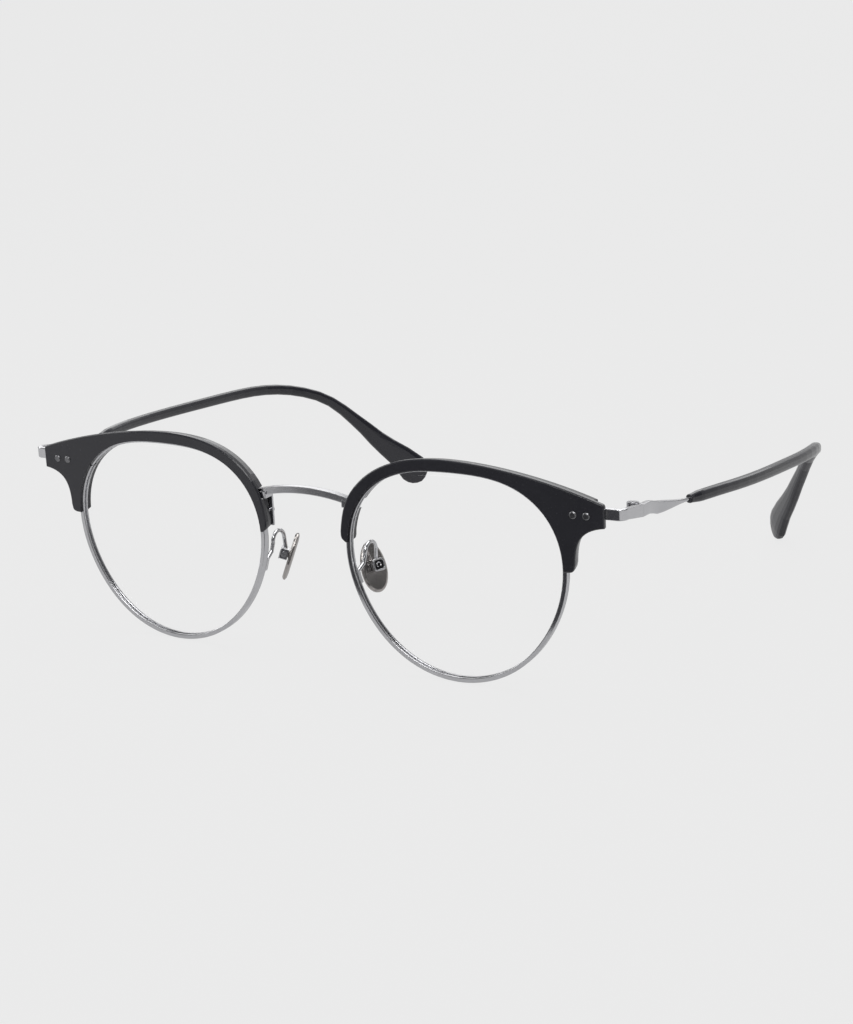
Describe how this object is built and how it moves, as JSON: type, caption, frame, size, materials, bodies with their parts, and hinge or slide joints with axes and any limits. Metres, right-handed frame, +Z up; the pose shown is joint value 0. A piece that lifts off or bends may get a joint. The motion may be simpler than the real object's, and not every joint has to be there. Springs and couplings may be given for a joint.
{
  "type": "browline glasses",
  "caption": "Browline glasses: metal rims under black half-frame brows, a metal bridge, nose pads on wire arms, and folding temples with curled-in tips.",
  "frame": {"origin": "on the table under the middle of the bounding box, the glasses standing open on both rims and the left temple tip", "axes": "+X towards the wearer's left, +Y from the front of the glasses back to the temple tips, +Z up"},
  "size_m": [0.159, 0.1436, 0.0472],
  "materials": {
    "rim_metal": "polished",
    "frame_metal": "polished",
    "hinge_metal": "satin",
    "screw_metal": "satin",
    "lens_clear": "clear",
    "brow_black": "glossy",
    "sleeve_black": "glossy",
    "pad_metal": "satin"
  },
  "bodies": {
    "front": {"rim_left": "rim_metal", "rim_right": "rim_metal", "lens_left": "lens_clear", "lens_right": "lens_clear", "brow_left": "brow_black", "brow_right": "brow_black", "bridge": "frame_metal", "pad_arm_left": "frame_metal", "pad_arm_right": "frame_metal", "pad_screws": "screw_metal", "rim_blocks_left": "rim_metal", "rim_blocks_right": "rim_metal", "rim_screws": "screw_metal", "endpiece_left": "frame_metal", "endpiece_right": "frame_metal", "brow_rivets": "screw_metal", "brow_screws": "screw_metal", "hinge_front_left": "hinge_metal", "hinge_front_right": "hinge_metal", "hinge_screws": "screw_metal"},
    "temple_left": {"hinge_temple_left": "hinge_metal", "temple_core_left": "frame_metal", "temple_sleeve_left": "sleeve_black"},
    "temple_right": {"hinge_temple_right": "hinge_metal", "temple_core_right": "frame_metal", "temple_sleeve_right": "sleeve_black"},
    "pad_left": {"nose_pad_left": "pad_metal"},
    "pad_right": {"nose_pad_right": "pad_metal"}
  },
  "joints": [
    {"name": "fold_left", "type": "hinge", "parent": "front", "child": "temple_left", "pos_m": [0.06888, -0.05979, 0.03813], "axis": [0, 0.0342, 0.9994], "range_deg": [0, 86]},
    {"name": "fold_right", "type": "hinge", "parent": "front", "child": "temple_right", "pos_m": [-0.07062, -0.05979, 0.03813], "axis": [0, -0.0342, -0.9994], "range_deg": [0, 78]},
    {"name": "rock_pad_left", "type": "hinge", "parent": "front", "child": "pad_left", "pos_m": [0.01078, -0.06053, 0.02026], "axis": [0.4477, 0.8936, 0.0331], "range_deg": [-8, 8]},
    {"name": "rock_pad_right", "type": "hinge", "parent": "front", "child": "pad_right", "pos_m": [-0.01252, -0.06053, 0.02026], "axis": [-0.4477, 0.8936, 0.0331], "range_deg": [-8, 8]}
  ]
}
